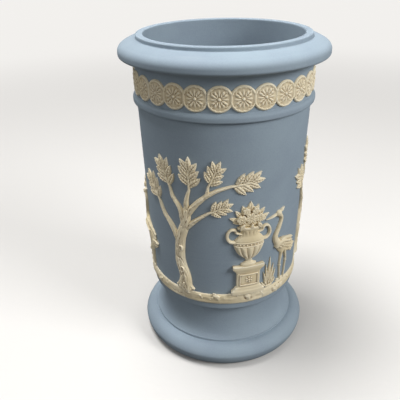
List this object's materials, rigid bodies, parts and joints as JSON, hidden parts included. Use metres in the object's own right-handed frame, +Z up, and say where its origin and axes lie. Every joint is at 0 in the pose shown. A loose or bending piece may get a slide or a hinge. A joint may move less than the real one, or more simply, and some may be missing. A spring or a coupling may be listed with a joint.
{
  "type": "jasperware vase",
  "caption": "Small cylindrical blue stoneware vase with a rolled rim, a hollow spreading foot and white moulded reliefs.",
  "frame": {"origin": "middle of the sole, on the surface that the vase stands on", "axes": "+Z up along the turning axis, -Y towards the front of the first scene, +X to its right"},
  "size_m": [0.098, 0.098, 0.165],
  "materials": {
    "blue_jasper": "dry unglazed matt blue stoneware",
    "white_jasper": "dry unglazed cream white stoneware"
  },
  "bodies": {
    "root": {"vase_body": "blue_jasper", "foot": "blue_jasper", "border_strip_1": "white_jasper", "border_strip_2": "white_jasper", "border_strip_3": "white_jasper", "border_strip_4": "white_jasper", "border_strip_5": "white_jasper", "border_strip_6": "white_jasper", "border_strip_7": "white_jasper", "border_strip_8": "white_jasper", "border_strip_9": "white_jasper", "bouquet_1": "white_jasper", "bouquet_2": "white_jasper", "bouquet_3": "white_jasper", "crane_1": "white_jasper", "crane_2": "white_jasper", "crane_3": "white_jasper", "ground_strip_1": "white_jasper", "ground_strip_2": "white_jasper", "ground_strip_3": "white_jasper", "ground_strip_4": "white_jasper", "ground_strip_5": "white_jasper", "ground_strip_6": "white_jasper", "plinth_1": "white_jasper", "plinth_2": "white_jasper", "plinth_3": "white_jasper", "rushes_1": "white_jasper", "rushes_2": "white_jasper", "rushes_3": "white_jasper", "spray_high_left_1": "white_jasper", "spray_high_left_2": "white_jasper", "spray_high_left_3": "white_jasper", "spray_low_left_1": "white_jasper", "spray_low_left_2": "white_jasper", "spray_low_left_3": "white_jasper", "spray_low_right_1": "white_jasper", "spray_low_right_2": "white_jasper", "spray_low_right_3": "white_jasper", "spray_middle_1": "white_jasper", "spray_middle_2": "white_jasper", "spray_middle_3": "white_jasper", "spray_right_1": "white_jasper", "spray_right_2": "white_jasper", "spray_right_3": "white_jasper", "spray_top_1": "white_jasper", "spray_top_2": "white_jasper", "spray_top_3": "white_jasper", "tree_1": "white_jasper", "tree_2": "white_jasper", "tree_3": "white_jasper", "urn_1": "white_jasper", "urn_2": "white_jasper", "urn_3": "white_jasper"}
  },
  "joints": []
}
